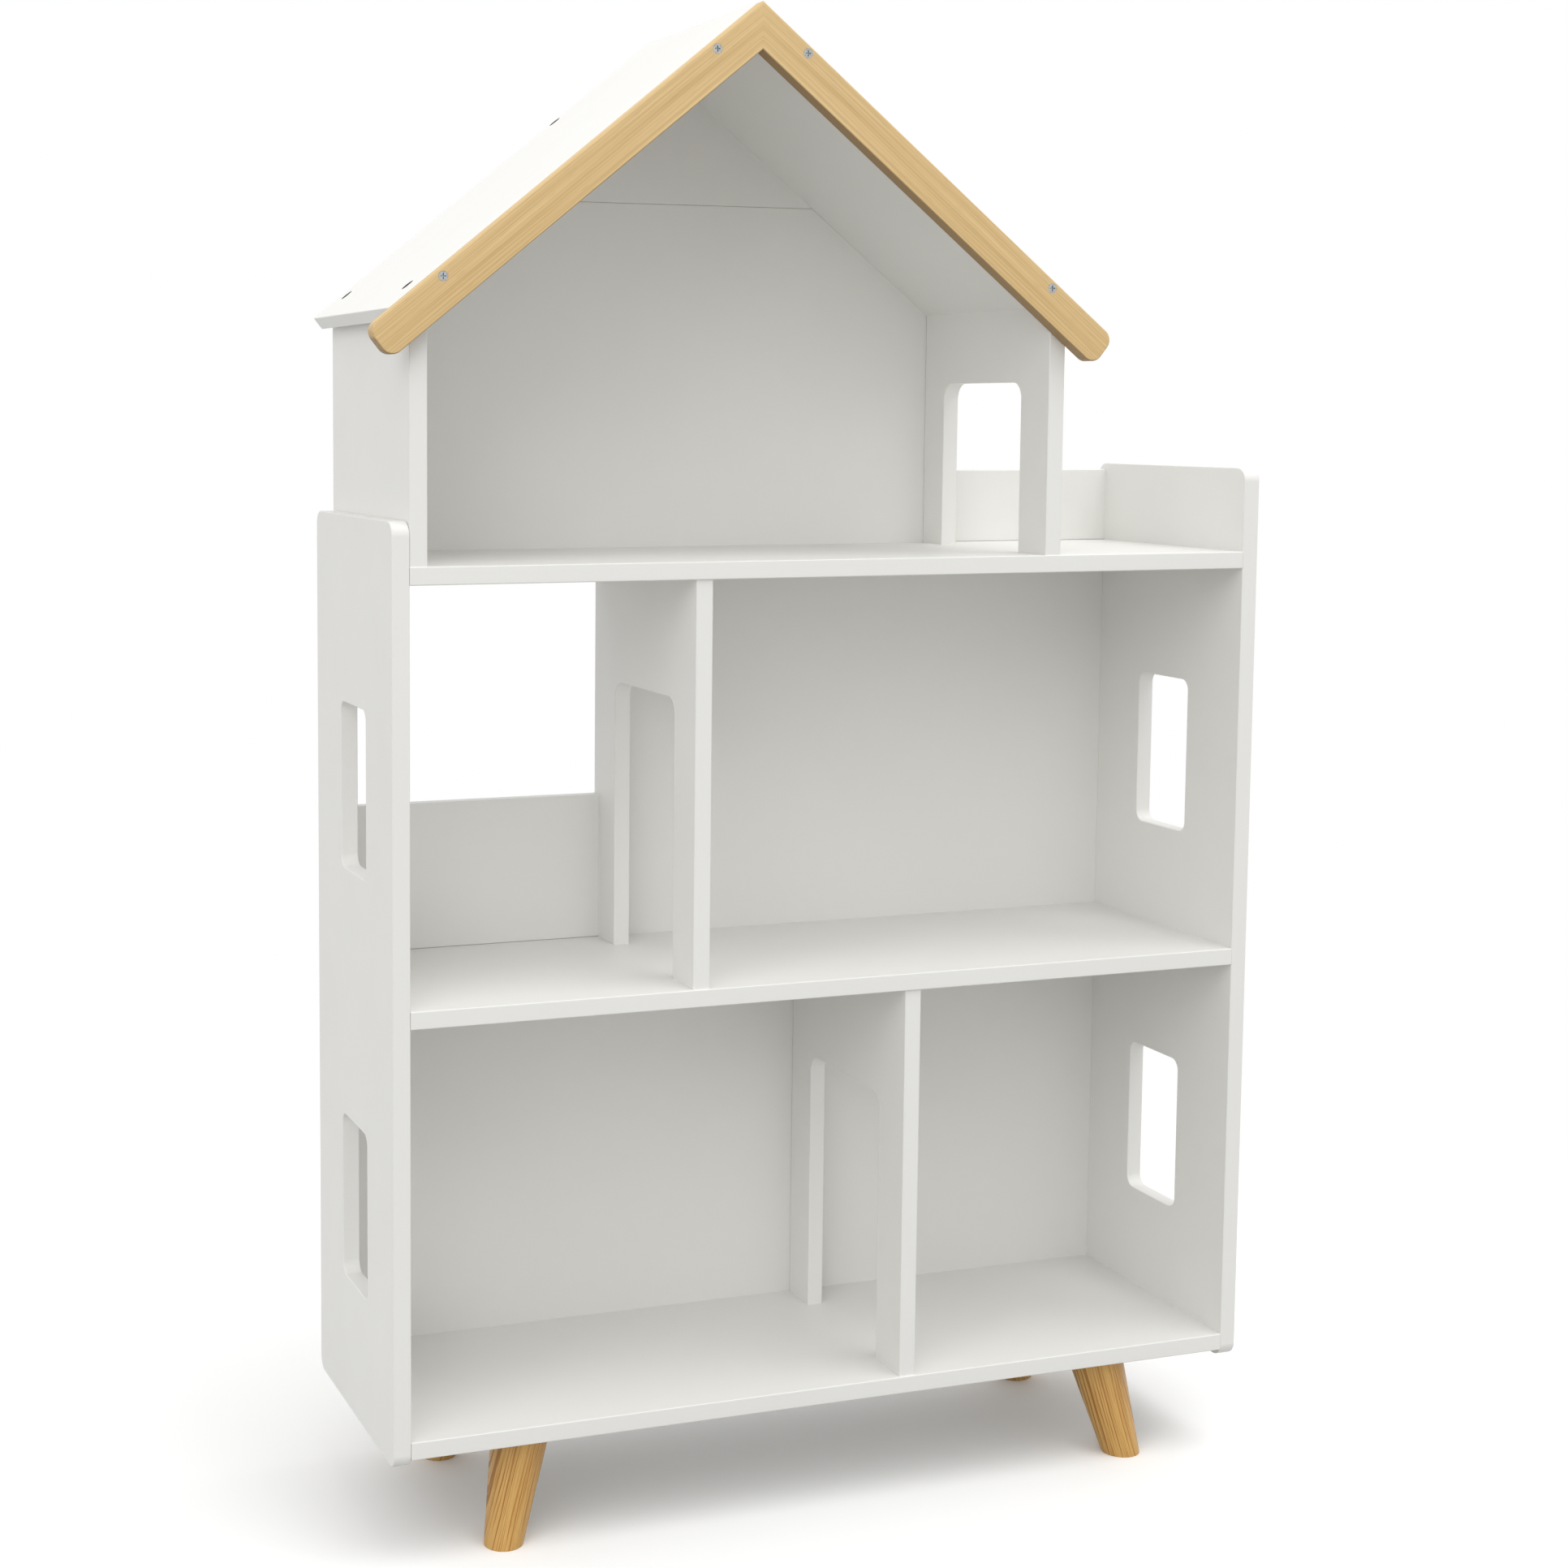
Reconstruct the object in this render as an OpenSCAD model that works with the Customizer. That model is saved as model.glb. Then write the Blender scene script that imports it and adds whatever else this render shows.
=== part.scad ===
// House shaped bookcase for a child's room, built board by board.
// Millimetres. Origin: floor level under the middle of the overall box.
// Front faces -Y, right is +X, up is +Z.
// Boards are set out from a corner system: x = 0 at the middle of the body,
// y = 0 at the front edges of the side panels, z = 0 at the floor.

/* [Body] */
// Width over both side panels
body_w = 800; // [720:5:900]
// Depth of the side panels, front to back
body_d = 240; // [225:5:300]
// Thickness of panels, shelves, dividers and house walls
board_t = 15; // [14:1:20]
// Clear height of the two lower compartments
lower_clear = 343; // [320:1:400]
// Clear height of the middle row
middle_clear = 343; // [320:1:400]
// Reach of the side panels below the bottom shelf
panel_drop = 7; // [0:1:20]
// Height of the left side panel above the top shelf
left_rise = 36; // [20:1:80]
// Height of the right side panel above the top shelf
right_rise = 74; // [70:1:140]
// Corner radius of the side panels
corner_r = 12; // [6:1:30]
// Clear width of the open-backed nook, middle row left
nook_w = 246; // [180:1:300]
// Clear width of the lower left compartment
lower_left_w = 444; // [340:1:560]
// Set-back of the dividers behind the shelf fronts
divider_set = 2; // [0:0.5:6]

/* [House] */
// Width over both house walls
house_w = 586; // [480:1:640]
// Height of the house walls at their outer faces
wall_h = 201; // [185:1:260]
// Set-back of the house walls behind the shelf front
wall_set = 1; // [0:0.5:6]
// Slope of the roof, degrees
roof_angle = 38.8; // [34:0.1:45]
// Thickness of the roof boards
roof_t = 12; // [11:1:16]
// Overhang of the roof boards past the house walls, level
eave_out = 17; // [6:1:36]
// Gap from the roof's back edge to the back of the body
roof_back_gap = 1; // [0:1:6]
// Height of the joint between the two house back pieces above the shelf
joint_h = 309; // [270:1:330]

/* [Fascia] */
// Width of the oak fascia boards
fascia_w = 30; // [24:1:40]
// Thickness of the oak fascia boards
fascia_t = 15; // [10:1:20]
// Reach of the fascia tails past the house walls, level
tail_out = 38; // [26:1:60]
// Corner radius of the fascia tails
tail_r = 10; // [5:1:12]

/* [Cut-outs] */
// Width of the side windows
window_w = 80; // [50:1:110]
// Height of the side windows
window_h = 142; // [100:1:190]
// Sill height of the side windows above the shelf
window_sill = 93; // [60:1:120]
// Corner radius of the side windows
window_r = 10; // [5:1:20]
// Width of the doors in the dividers and the house wall
door_w = 140; // [100:1:150]
// Height of the doors in the dividers
door_h = 240; // [180:1:280]
// Height of the door in the house wall
house_door_h = 149; // [110:1:160]
// Radius of the upper door corners
door_r = 15; // [8:1:30]
// Distance from the body front to the middle of the doors
door_y = 118; // [110:1:122]

/* [Backs and rails] */
// Thickness of the compartment back panels
back_t = 9; // [6:1:9]
// Gap from the compartment backs to the back of the body
back_inset = 2; // [2:0.5:6]
// Thickness of the house back pieces
house_back_t = 12; // [9:1:12]
// Gap from the house back to the back of the body
house_back_inset = 3; // [2:0.5:6]
// Thickness of the nook rail and of the ledge guard
rail_t = 12; // [10:1:12]
// Height of the rail across the back of the nook
rail_h = 132; // [80:1:180]
// Height of the guard along the back of the ledge
guard_h = 68; // [50:1:70]
// Depth of the grooves that hold the back panels
groove_deep = 5; // [3:0.5:5]
// Clearance at each face of a back panel in its groove
groove_fit = 0.1; // [0:0.05:0.2]
// Clearance at the bottom of a groove
groove_end = 0.5; // [0.2:0.1:1]

/* [Legs] */
// Height of the legs, floor to shelf
leg_h = 93; // [70:1:140]
// Leg diameter at the shelf
leg_top_d = 50; // [40:1:56]
// Leg diameter at the floor
leg_foot_d = 33; // [26:1:40]
// Distance from the body side to the leg's middle at the shelf
leg_x = 123; // [70:1:160]
// Distance from the body front or back to the leg's middle at the shelf
leg_y = 41; // [40:1:60]
// Outward lean of the foot, sideways
leg_lean_x = 21; // [0:1:30]
// Outward lean of the foot, to front or back
leg_lean_y = 17; // [0:1:17]

/* [Fixings] */
// Diameter of the leg bolts
bolt_d = 8; // [6:0.5:8]
// Length of a leg bolt inside the leg
bolt_in_leg = 30; // [20:1:40]
// Length of a leg bolt inside the shelf
bolt_in_shelf = 10; // [8:0.5:10]
// Diameter of the cam housings
cam_d = 15; // [14:0.5:16]
// Height of the cam housings
cam_h = 12; // [11.5:0.1:12.5]
// Distance from the shelf end to the middle of a cam
cam_set = 24; // [20:1:30]
// Diameter of the cam bolts
cam_bolt_d = 6; // [5:0.1:6.5]
// Depth of cam bolts and shelf dowels in the side panels
panel_bite = 10; // [8:0.5:11]
// Distance of the cams from the front and back edges
cam_y = 40; // [24:1:60]
// Diameter of the wooden dowels
dowel_d = 8; // [6:0.5:8]
// Depth of the shelf dowels in the shelf ends
dowel_in_shelf = 20; // [12:1:30]
// Depth of the divider dowels in the dividers
dowel_in_divider = 18; // [12:1:25]
// Depth of the divider dowels in the shelves
dowel_bite = 9; // [6:0.5:10]
// Diameter of the small dowels in rail and guard ends
pin_d = 6; // [4:0.5:6]
// Depth of the small dowels in rail and guard
pin_in_rail = 13; // [10:1:20]
// Depth of the small dowels in the boards beside them
pin_bite = 7; // [5:0.5:7]
// Shank diameter of the screws
screw_d = 4; // [3:0.5:4.5]
// Length of the screws over the head
screw_l = 38; // [32:1:45]
// Head diameter of the screws
head_d = 8; // [7:0.5:9]
// Head height of the screws
head_h = 2.5; // [2:0.1:3]
// Clearance around dowels, bolts and screws
fix_fit = 0.1; // [0.05:0.05:0.2]
// Distance along the slope from the ridge to the upper fascia screws
fascia_screw_hi = 56; // [45:1:80]
// Distance along the slope from the ridge to the lower fascia screws
fascia_screw_lo = 351; // [300:1:352]
// Distance from the body front to the front roof screws
roof_screw_y = 31; // [24:1:60]
// Distance from the body back to the rear eave screws
roof_screw_back = 21; // [18:1:24]
// Level distance from the ridge to the gable screws
gable_screw_x = 91; // [70:1:100]
// Distance from the body front and back to the screws under the left house wall
wall_screw_y = 75; // [50:1:90]
// Depth of the driver slots in the cams
cam_slot_deep = 2; // [1:0.5:3]

/* [Hidden] */
$fn = 48;
white = [0.93, 0.93, 0.91];
oak = [0.84, 0.70, 0.49];
pine = [0.75, 0.56, 0.33];
metal = [0.66, 0.68, 0.68];
beech = [0.86, 0.74, 0.55];
eps = 1;

// levels
shelf1_under = leg_h;
shelf1_top = shelf1_under + board_t;
shelf2_under = shelf1_top + lower_clear;
shelf2_top = shelf2_under + board_t;
shelf3_under = shelf2_top + middle_clear;
shelf3_top = shelf3_under + board_t;
panel_foot = shelf1_under - panel_drop;

// positions across
side_in = body_w / 2 - board_t;
mid_div_x = -side_in + nook_w;
low_div_x = -side_in + lower_left_w;
wall_l_in = -side_in + board_t;
wall_r_out = -side_in + house_w;
wall_r_in = wall_r_out - board_t;
ridge_x = -side_in + house_w / 2;

// positions front to back
back_front = body_d - back_inset - back_t;
house_back_front = body_d - house_back_inset - house_back_t;
rail_front = body_d - rail_t;
rail_mid = body_d - rail_t / 2;
foot_front = (divider_set + door_y - door_w / 2) / 2;

// roof
roof_drop = roof_t / cos(roof_angle);
apex_z = shelf3_top + wall_h + house_w / 2 * tan(roof_angle) + roof_drop;
under_apex = apex_z - roof_drop;
roof_l = (house_w / 2 + eave_out) / cos(roof_angle);
fascia_l = (house_w / 2 + tail_out) / cos(roof_angle);
joint_z = shelf3_top + joint_h;
joint_half = (under_apex - joint_z) / tan(roof_angle);
function roof_under(x) = under_apex - abs(x - ridge_x) * tan(roof_angle);
function roof_top(x) = apex_z - abs(x - ridge_x) * tan(roof_angle);

// legs
leg_reach = sqrt(leg_lean_x * leg_lean_x + leg_lean_y * leg_lean_y);
leg_tilt = atan2(leg_reach, leg_h);
leg_l = sqrt(leg_reach * leg_reach + leg_h * leg_h);
leg_taper = (leg_top_d - leg_foot_d) / 2 / leg_l;

// middle of the overall box
tail_reach = (fascia_l - tail_r) * cos(roof_angle) - tail_r * sin(roof_angle) + tail_r;
left_edge = min(-body_w / 2, ridge_x - tail_reach);
right_edge = max(body_w / 2, ridge_x + tail_reach);
mid_x = (left_edge + right_edge) / 2;
mid_y = (body_d - fascia_t) / 2;

// ---- helpers ----

// moves the setting-out system to the middle of the overall box
module place() {
  translate([-mid_x, -mid_y, 0])
    children();
}

// box between two corners
module slab(a, b) {
  translate(a)
    cube(b - a);
}

// extrudes a (Y, Z) drawing along +X from x0
module side_plate(x0, t) {
  translate([x0, 0, 0])
    rotate([90, 0, 90])
      linear_extrude(t)
        children();
}

// extrudes an (X, Z) drawing along +Y from y0
module front_plate(y0, t) {
  translate([0, y0 + t, 0])
    rotate([90, 0, 0])
      linear_extrude(t)
        children();
}

// rectangle with four round corners, lower left corner at the origin
module round_rect(w, h, r) {
  translate([r, 0])
    square([w - 2 * r, h]);
  translate([0, r])
    square([w, h - 2 * r]);
  for (x = [r, w - r]) {
    for (y = [r, h - r]) {
      translate([x, y])
        circle(r);
    }
  }
}

// round rods along +X and along +Z from a point
module rod_x(p, d, l) {
  translate(p)
    rotate([0, 90, 0])
      cylinder(h = l, d = d);
}

module rod_z(p, d, l) {
  translate(p)
    cylinder(h = l, d = d);
}

// copies to the left and right of x = 0
module both_sides() {
  children();
  mirror([1, 0, 0])
    children();
}

// copies to the left and right of the ridge
module both_slopes() {
  children();
  right_slope()
    children();
}

module right_slope() {
  translate([2 * ridge_x, 0, 0])
    mirror([1, 0, 0])
      children();
}

// ---- cut-outs ----

module window_cut(z) {
  translate([(body_d - window_w) / 2, z + window_sill])
    round_rect(window_w, window_h, window_r);
}

module door_cut(z, h) {
  translate([door_y - door_w / 2, z - door_r - eps])
    round_rect(door_w, h + door_r + eps, door_r);
}

// ---- fixings, shared by the pieces and by their holes ----

// holes are the same fixings drawn with play > 0
module cam_bolt_set(play) {
  both_sides() {
    for (z = [shelf1_under, shelf2_under, shelf3_under]) {
      for (y = [cam_y, body_d - cam_y]) {
        rod_x([side_in - cam_set + 1 - play, y, z + board_t / 2],
          cam_bolt_d + 2 * play, cam_set - 1 + panel_bite + 2 * play);
      }
    }
  }
}

module cam_set_out(play) {
  both_sides() {
    for (z = [shelf1_under, shelf2_under, shelf3_under]) {
      for (y = [cam_y, body_d - cam_y]) {
        rod_z([side_in - cam_set, y, z - play * eps],
          cam_d + 2 * play, cam_h + play + play * eps);
      }
    }
  }
}

module shelf_dowel_set(play) {
  both_sides() {
    for (z = [shelf1_under, shelf2_under, shelf3_under]) {
      rod_x([side_in - dowel_in_shelf - play, body_d / 2, z + board_t / 2],
        dowel_d + 2 * play, dowel_in_shelf + panel_bite + 2 * play);
    }
  }
}

// dowels above and below one divider
module divider_dowel_set(x, z0, z1, foot_back, play) {
  l = dowel_in_divider + dowel_bite + 2 * play;
  for (y = [foot_front, foot_back]) {
    rod_z([x + board_t / 2, y, z0 - dowel_bite - play], dowel_d + 2 * play, l);
    rod_z([x + board_t / 2, y, z1 - dowel_in_divider - play], dowel_d + 2 * play, l);
  }
}

module middle_dowels(play) {
  divider_dowel_set(mid_div_x, shelf2_top, shelf3_under,
    (door_y + door_w / 2 + back_front) / 2, play);
}

module lower_dowels(play) {
  divider_dowel_set(low_div_x, shelf1_top, shelf2_under,
    (door_y + door_w / 2 + back_front) / 2, play);
}

// dowels at both ends of a rail that runs from x0 to x1 on a shelf at z
module rail_pin_set(x0, x1, z, h, play) {
  l = pin_in_rail + pin_bite + 2 * play;
  for (u = [0.28, 0.72]) {
    rod_x([x0 - pin_bite - play, rail_mid, z + h * u], pin_d + 2 * play, l);
    rod_x([x1 - pin_in_rail - play, rail_mid, z + h * u], pin_d + 2 * play, l);
  }
}

module nook_pins(play) {
  rail_pin_set(-side_in, mid_div_x, shelf2_top, rail_h, play);
}

module guard_pins(play) {
  rail_pin_set(wall_r_out, side_in, shelf3_top, guard_h, play);
}

// screw along +Z, outer face of the head at the origin
module screw() {
  difference() {
    union() {
      cylinder(h = head_h, d = head_d);
      cylinder(h = screw_l, d = screw_d);
    }
    for (a = [0, 90]) {
      rotate([0, 0, a])
        translate([-head_d * 0.3, -head_d * 0.06, -eps])
          cube([head_d * 0.6, head_d * 0.12, eps + head_h * 0.6]);
    }
  }
}

// room for a screw, with a straight mouth of the given length above the head
module screw_room(mouth) {
  translate([0, 0, -mouth])
    cylinder(h = mouth + head_h + fix_fit, d = head_d + 2 * fix_fit);
  cylinder(h = screw_l + fix_fit, d = screw_d + 2 * fix_fit);
}

// upright screws sunk in the roof, above the house walls and the gable
module at_roof_screws() {
  both_slopes() {
    for (y = [roof_screw_y, body_d - roof_screw_back]) {
      roof_seat(-side_in + board_t / 2, y)
        children();
    }
    roof_seat(ridge_x - gable_screw_x, house_back_front + house_back_t / 2)
      children();
  }
}

// seat of a roof screw: the whole head is below the sloping face
module roof_seat(x, y) {
  translate([x, y, roof_top(x) - (head_d / 2 + fix_fit) * tan(roof_angle)])
    mirror([0, 0, 1])
      children();
}

// screws from the front through the fascia into the roof boards' edges
module at_fascia_screws() {
  both_slopes() {
    for (s = [fascia_screw_hi, fascia_screw_lo]) {
      translate([ridge_x - s * cos(roof_angle) + roof_t / 2 * sin(roof_angle), -fascia_t,
        apex_z - s * sin(roof_angle) - roof_t / 2 * cos(roof_angle)])
        rotate([-90, 0, 0])
          children();
    }
  }
}

// screws up through the top shelf into the house walls
module at_wall_screws() {
  for (y = [wall_screw_y, body_d - wall_screw_y]) {
    translate([-side_in + board_t / 2, y, shelf3_under])
      children();
  }
  for (y = [foot_front, (door_y + door_w / 2 + house_back_front) / 2]) {
    translate([wall_r_in + board_t / 2, y, shelf3_under])
      children();
  }
}

// frame of one leg: origin at the leg's middle on the shelf, -Z down the leg
module leg_frame(sx, sy) {
  translate([sx * (body_w / 2 - leg_x), body_d / 2 + sy * (body_d / 2 - leg_y), leg_h])
    rotate([0, -leg_tilt, atan2(sy * leg_lean_y, sx * leg_lean_x)])
      children();
}

module leg_bolt(sx, sy, play) {
  leg_frame(sx, sy)
    translate([0, 0, -bolt_in_leg - play])
      cylinder(h = bolt_in_leg + bolt_in_shelf + 2 * play, d = bolt_d + 2 * play);
}

// ---- boards ----

module side_panel(rise) {
  side_plate(side_in, board_t)
    difference() {
      translate([0, panel_foot])
        round_rect(body_d, shelf3_top + rise - panel_foot, corner_r);
      window_cut(shelf1_top);
      window_cut(shelf2_top);
    }
}

// groove in the face at x, running up between two levels
module groove(x, y, t, z0, z1) {
  slab([x - groove_deep, y - groove_fit, z0], [x + groove_deep, y + t + groove_fit, z1]);
}

module side_panel_left() {
  place()
    color(white)
      difference() {
        mirror([1, 0, 0])
          side_panel(left_rise);
        groove(-side_in, back_front, back_t, shelf1_top, shelf2_under);
        cam_bolt_set(fix_fit);
        shelf_dowel_set(fix_fit);
        nook_pins(fix_fit);
      }
}

module side_panel_right() {
  place()
    color(white)
      difference() {
        side_panel(right_rise);
        groove(side_in, back_front, back_t, shelf1_top, shelf2_under);
        groove(side_in, back_front, back_t, shelf2_top, shelf3_under);
        cam_bolt_set(fix_fit);
        shelf_dowel_set(fix_fit);
        guard_pins(fix_fit);
      }
}

// one full width shelf with the bores for its end fixings
module shelf(z) {
  difference() {
    slab([-side_in, 0, z], [side_in, body_d, z + board_t]);
    cam_bolt_set(fix_fit);
    cam_set_out(fix_fit);
    shelf_dowel_set(fix_fit);
    middle_dowels(fix_fit);
    lower_dowels(fix_fit);
    children();
  }
}

module shelf_top() {
  place()
    color(white)
      shelf(shelf3_under)
        at_wall_screws()
          screw_room(eps);
}

module shelf_middle() {
  place()
    color(white)
      shelf(shelf2_under);
}

module shelf_bottom() {
  place()
    color(white)
      shelf(shelf1_under)
        for (sx = [-1, 1]) {
          for (sy = [-1, 1]) {
            leg_bolt(sx, sy, fix_fit);
          }
        }
}

module divider_middle() {
  place()
    color(white)
      difference() {
        side_plate(mid_div_x, board_t)
          difference() {
            translate([divider_set, shelf2_top])
              square([body_d - divider_set, middle_clear]);
            door_cut(shelf2_top, door_h);
          }
        groove(mid_div_x + board_t, back_front, back_t, shelf2_top - eps, shelf3_under + eps);
        middle_dowels(fix_fit);
        nook_pins(fix_fit);
      }
}

module divider_lower() {
  place()
    color(white)
      difference() {
        side_plate(low_div_x, board_t)
          difference() {
            translate([divider_set, shelf1_top])
              square([back_front - divider_set, lower_clear]);
            door_cut(shelf1_top, door_h);
          }
        lower_dowels(fix_fit);
      }
}

// house wall between x0 and x0 + board_t, its top cut to the roof slope
module house_wall(x0) {
  x1 = x0 + board_t;
  front_plate(wall_set, body_d - wall_set)
    polygon([[x0, shelf3_top], [x1, shelf3_top], [x1, roof_under(x1)], [x0, roof_under(x0)]]);
}

module house_wall_left() {
  place()
    color(white)
      difference() {
        house_wall(-side_in);
        groove(wall_l_in, house_back_front, house_back_t, shelf3_top - eps, apex_z);
        at_roof_screws()
          screw_room(eps);
        at_wall_screws()
          screw_room(eps);
      }
}

module house_wall_right() {
  place()
    color(white)
      difference() {
        house_wall(wall_r_in);
        side_plate(wall_r_in - eps, board_t + 2 * eps)
          door_cut(shelf3_top, house_door_h);
        groove(wall_r_in, house_back_front, house_back_t, shelf3_top - eps, apex_z);
        at_roof_screws()
          screw_room(eps);
        at_wall_screws()
          screw_room(eps);
        guard_pins(fix_fit);
      }
}

module house_back_lower() {
  x0 = wall_l_in - groove_deep + groove_end;
  x1 = wall_r_in + groove_deep - groove_end;
  place()
    color(white)
      front_plate(house_back_front, house_back_t)
        polygon([
          [x0, shelf3_top], [x1, shelf3_top], [x1, roof_under(x1)],
          [ridge_x + joint_half, joint_z], [ridge_x - joint_half, joint_z],
          [x0, roof_under(x0)]
        ]);
}

module house_back_gable() {
  place()
    color(white)
      difference() {
        front_plate(house_back_front, house_back_t)
          polygon([
            [ridge_x - joint_half, joint_z], [ridge_x + joint_half, joint_z],
            [ridge_x, under_apex]
          ]);
        at_roof_screws()
          screw_room(eps);
      }
}

module back_panel_middle() {
  place()
    color(white)
      slab([mid_div_x + board_t - groove_deep + groove_end, back_front, shelf2_top],
        [side_in + groove_deep - groove_end, back_front + back_t, shelf3_under]);
}

module back_panel_lower() {
  place()
    color(white)
      slab([-side_in - groove_deep + groove_end, back_front, shelf1_top],
        [side_in + groove_deep - groove_end, back_front + back_t, shelf2_under]);
}

module nook_back_rail() {
  place()
    color(white)
      difference() {
        slab([-side_in, rail_front, shelf2_top], [mid_div_x, body_d, shelf2_top + rail_h]);
        nook_pins(fix_fit);
      }
}

module ledge_back_guard() {
  place()
    color(white)
      difference() {
        slab([wall_r_out, rail_front, shelf3_top], [side_in, body_d, shelf3_top + guard_h]);
        guard_pins(fix_fit);
      }
}

// ---- roof ----

// left slope; the upper end is cut upright at the ridge, the eave end is square
module roof_panel() {
  difference() {
    front_plate(0, body_d - roof_back_gap)
      polygon([
        [ridge_x, apex_z],
        [ridge_x, under_apex],
        [ridge_x - roof_l * cos(roof_angle) + roof_t * sin(roof_angle),
          apex_z - roof_l * sin(roof_angle) - roof_t * cos(roof_angle)],
        [ridge_x - roof_l * cos(roof_angle), apex_z - roof_l * sin(roof_angle)]
      ]);
    at_roof_screws()
      screw_room(head_d + roof_t);
    at_fascia_screws()
      screw_room(eps);
  }
}

module roof_panel_left() {
  place()
    color(white)
      roof_panel();
}

module roof_panel_right() {
  place()
    color(white)
      right_slope()
        roof_panel();
}

// oak board with a rounded tail, its upper end mitred upright at the ridge
module fascia() {
  difference() {
    front_plate(-fascia_t, fascia_t)
      translate([ridge_x, apex_z])
        mirror([1, 0])
          difference() {
            rotate([0, 0, -roof_angle])
              fascia_band();
            translate([-4 * fascia_w, -4 * fascia_w])
              square([4 * fascia_w, 8 * fascia_w]);
          }
    at_fascia_screws()
      screw_room(eps);
  }
}

// band along +X below the X axis, its far end with two round corners
module fascia_band() {
  translate([-fascia_w, -fascia_w])
    square([fascia_l + fascia_w - tail_r, fascia_w]);
  translate([fascia_l - 2 * tail_r, -fascia_w + tail_r])
    square([2 * tail_r, fascia_w - 2 * tail_r]);
  for (y = [-tail_r, -fascia_w + tail_r]) {
    translate([fascia_l - tail_r, y])
      circle(tail_r);
  }
}

module fascia_left() {
  place()
    color(oak)
      fascia();
}

module fascia_right() {
  place()
    color(oak)
      right_slope()
        fascia();
}

// ---- legs ----

// tapered leg, cut level at the shelf and at the floor
module leg(sx, sy) {
  place()
    color(pine)
      difference() {
        leg_frame(sx, sy)
          translate([0, 0, -leg_l - leg_top_d])
            cylinder(h = leg_l + 2 * leg_top_d,
              r1 = leg_foot_d / 2 - leg_taper * leg_top_d,
              r2 = leg_top_d / 2 + leg_taper * leg_top_d);
        slab([-body_w, -body_d, leg_h], [body_w, 2 * body_d, 3 * leg_h]);
        slab([-body_w, -body_d, -2 * leg_h], [body_w, 2 * body_d, 0]);
        leg_bolt(sx, sy, fix_fit);
      }
}

module leg_front_left() {
  leg(-1, -1);
}

module leg_front_right() {
  leg(1, -1);
}

module leg_back_left() {
  leg(-1, 1);
}

module leg_back_right() {
  leg(1, 1);
}

module leg_bolts() {
  place()
    color(metal)
      for (sx = [-1, 1]) {
        for (sy = [-1, 1]) {
          leg_bolt(sx, sy, 0);
        }
      }
}

// ---- hidden fixings ----

// cam housings in the undersides of the shelves, each open to its bolt
module shelf_cams() {
  place()
    color(metal)
      difference() {
        cam_set_out(0);
        cam_bolt_set(fix_fit);
        cam_slots();
      }
}

// cross slots for the driver in the lower faces of the cams
module cam_slots() {
  arm = cam_d * 0.35;
  thick = cam_d * 0.08;
  both_sides() {
    for (z = [shelf1_under, shelf2_under, shelf3_under]) {
      for (y = [cam_y, body_d - cam_y]) {
        slab([side_in - cam_set - arm, y - thick, z - eps],
          [side_in - cam_set + arm, y + thick, z + cam_slot_deep]);
        slab([side_in - cam_set - thick, y - arm, z - eps],
          [side_in - cam_set + thick, y + arm, z + cam_slot_deep]);
      }
    }
  }
}

module shelf_cam_bolts() {
  place()
    color(metal)
      cam_bolt_set(0);
}

module shelf_dowels() {
  place()
    color(beech)
      shelf_dowel_set(0);
}

module divider_dowels() {
  place()
    color(beech) {
      middle_dowels(0);
      lower_dowels(0);
    }
}

module rail_dowels() {
  place()
    color(beech) {
      nook_pins(0);
      guard_pins(0);
    }
}

module house_wall_screws() {
  place()
    color(metal)
      at_wall_screws()
        screw();
}

module roof_screws() {
  place()
    color(metal)
      at_roof_screws()
        screw();
}

module fascia_screws() {
  place()
    color(metal)
      at_fascia_screws()
        screw();
}

// ---- output ----

side_panel_left();
side_panel_right();
shelf_top();
shelf_middle();
shelf_bottom();
divider_middle();
divider_lower();
house_wall_left();
house_wall_right();
house_back_lower();
house_back_gable();
back_panel_middle();
back_panel_lower();
nook_back_rail();
ledge_back_guard();
roof_panel_left();
roof_panel_right();
fascia_left();
fascia_right();
leg_front_left();
leg_front_right();
leg_back_left();
leg_back_right();
leg_bolts();
shelf_cams();
shelf_cam_bolts();
shelf_dowels();
divider_dowels();
rail_dowels();
house_wall_screws();
roof_screws();
fascia_screws();
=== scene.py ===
import math

import bpy
from mathutils import Matrix, Vector


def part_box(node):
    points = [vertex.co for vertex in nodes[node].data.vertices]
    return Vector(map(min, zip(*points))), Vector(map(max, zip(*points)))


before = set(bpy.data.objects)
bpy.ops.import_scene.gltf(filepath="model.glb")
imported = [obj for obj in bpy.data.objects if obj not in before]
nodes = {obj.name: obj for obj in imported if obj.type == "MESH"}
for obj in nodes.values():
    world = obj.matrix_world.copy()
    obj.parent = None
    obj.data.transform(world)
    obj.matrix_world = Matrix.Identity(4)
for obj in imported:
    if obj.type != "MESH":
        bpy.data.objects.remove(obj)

# The looks of the house shaped bookcase: white lacquered boards with eased edges,
# light oak fascia boards, turned pine legs and dull zinc fixings.
# Metres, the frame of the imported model: front faces -Y, right is +X, up is +Z.

scene = bpy.context.scene
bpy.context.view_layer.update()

# ---- camera ----

# Solved from points measured in the photo. Pixels are those of the 1932 pixel picture, and
# CENTRE_PX is where the line of sight meets it: the picture is framed off centre.
IMAGE = 1932.0
FOCAL_PX = 3083.8
CENTRE_PX = (640.0, 795.0)
YAW = math.radians(-18.763)
PITCH = math.radians(-5.308)
ROLL = math.radians(0.119)
CAMERA_AT = Vector((-0.9281, -2.0085, 0.9455))
SENSOR_MM = 36.0


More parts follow.
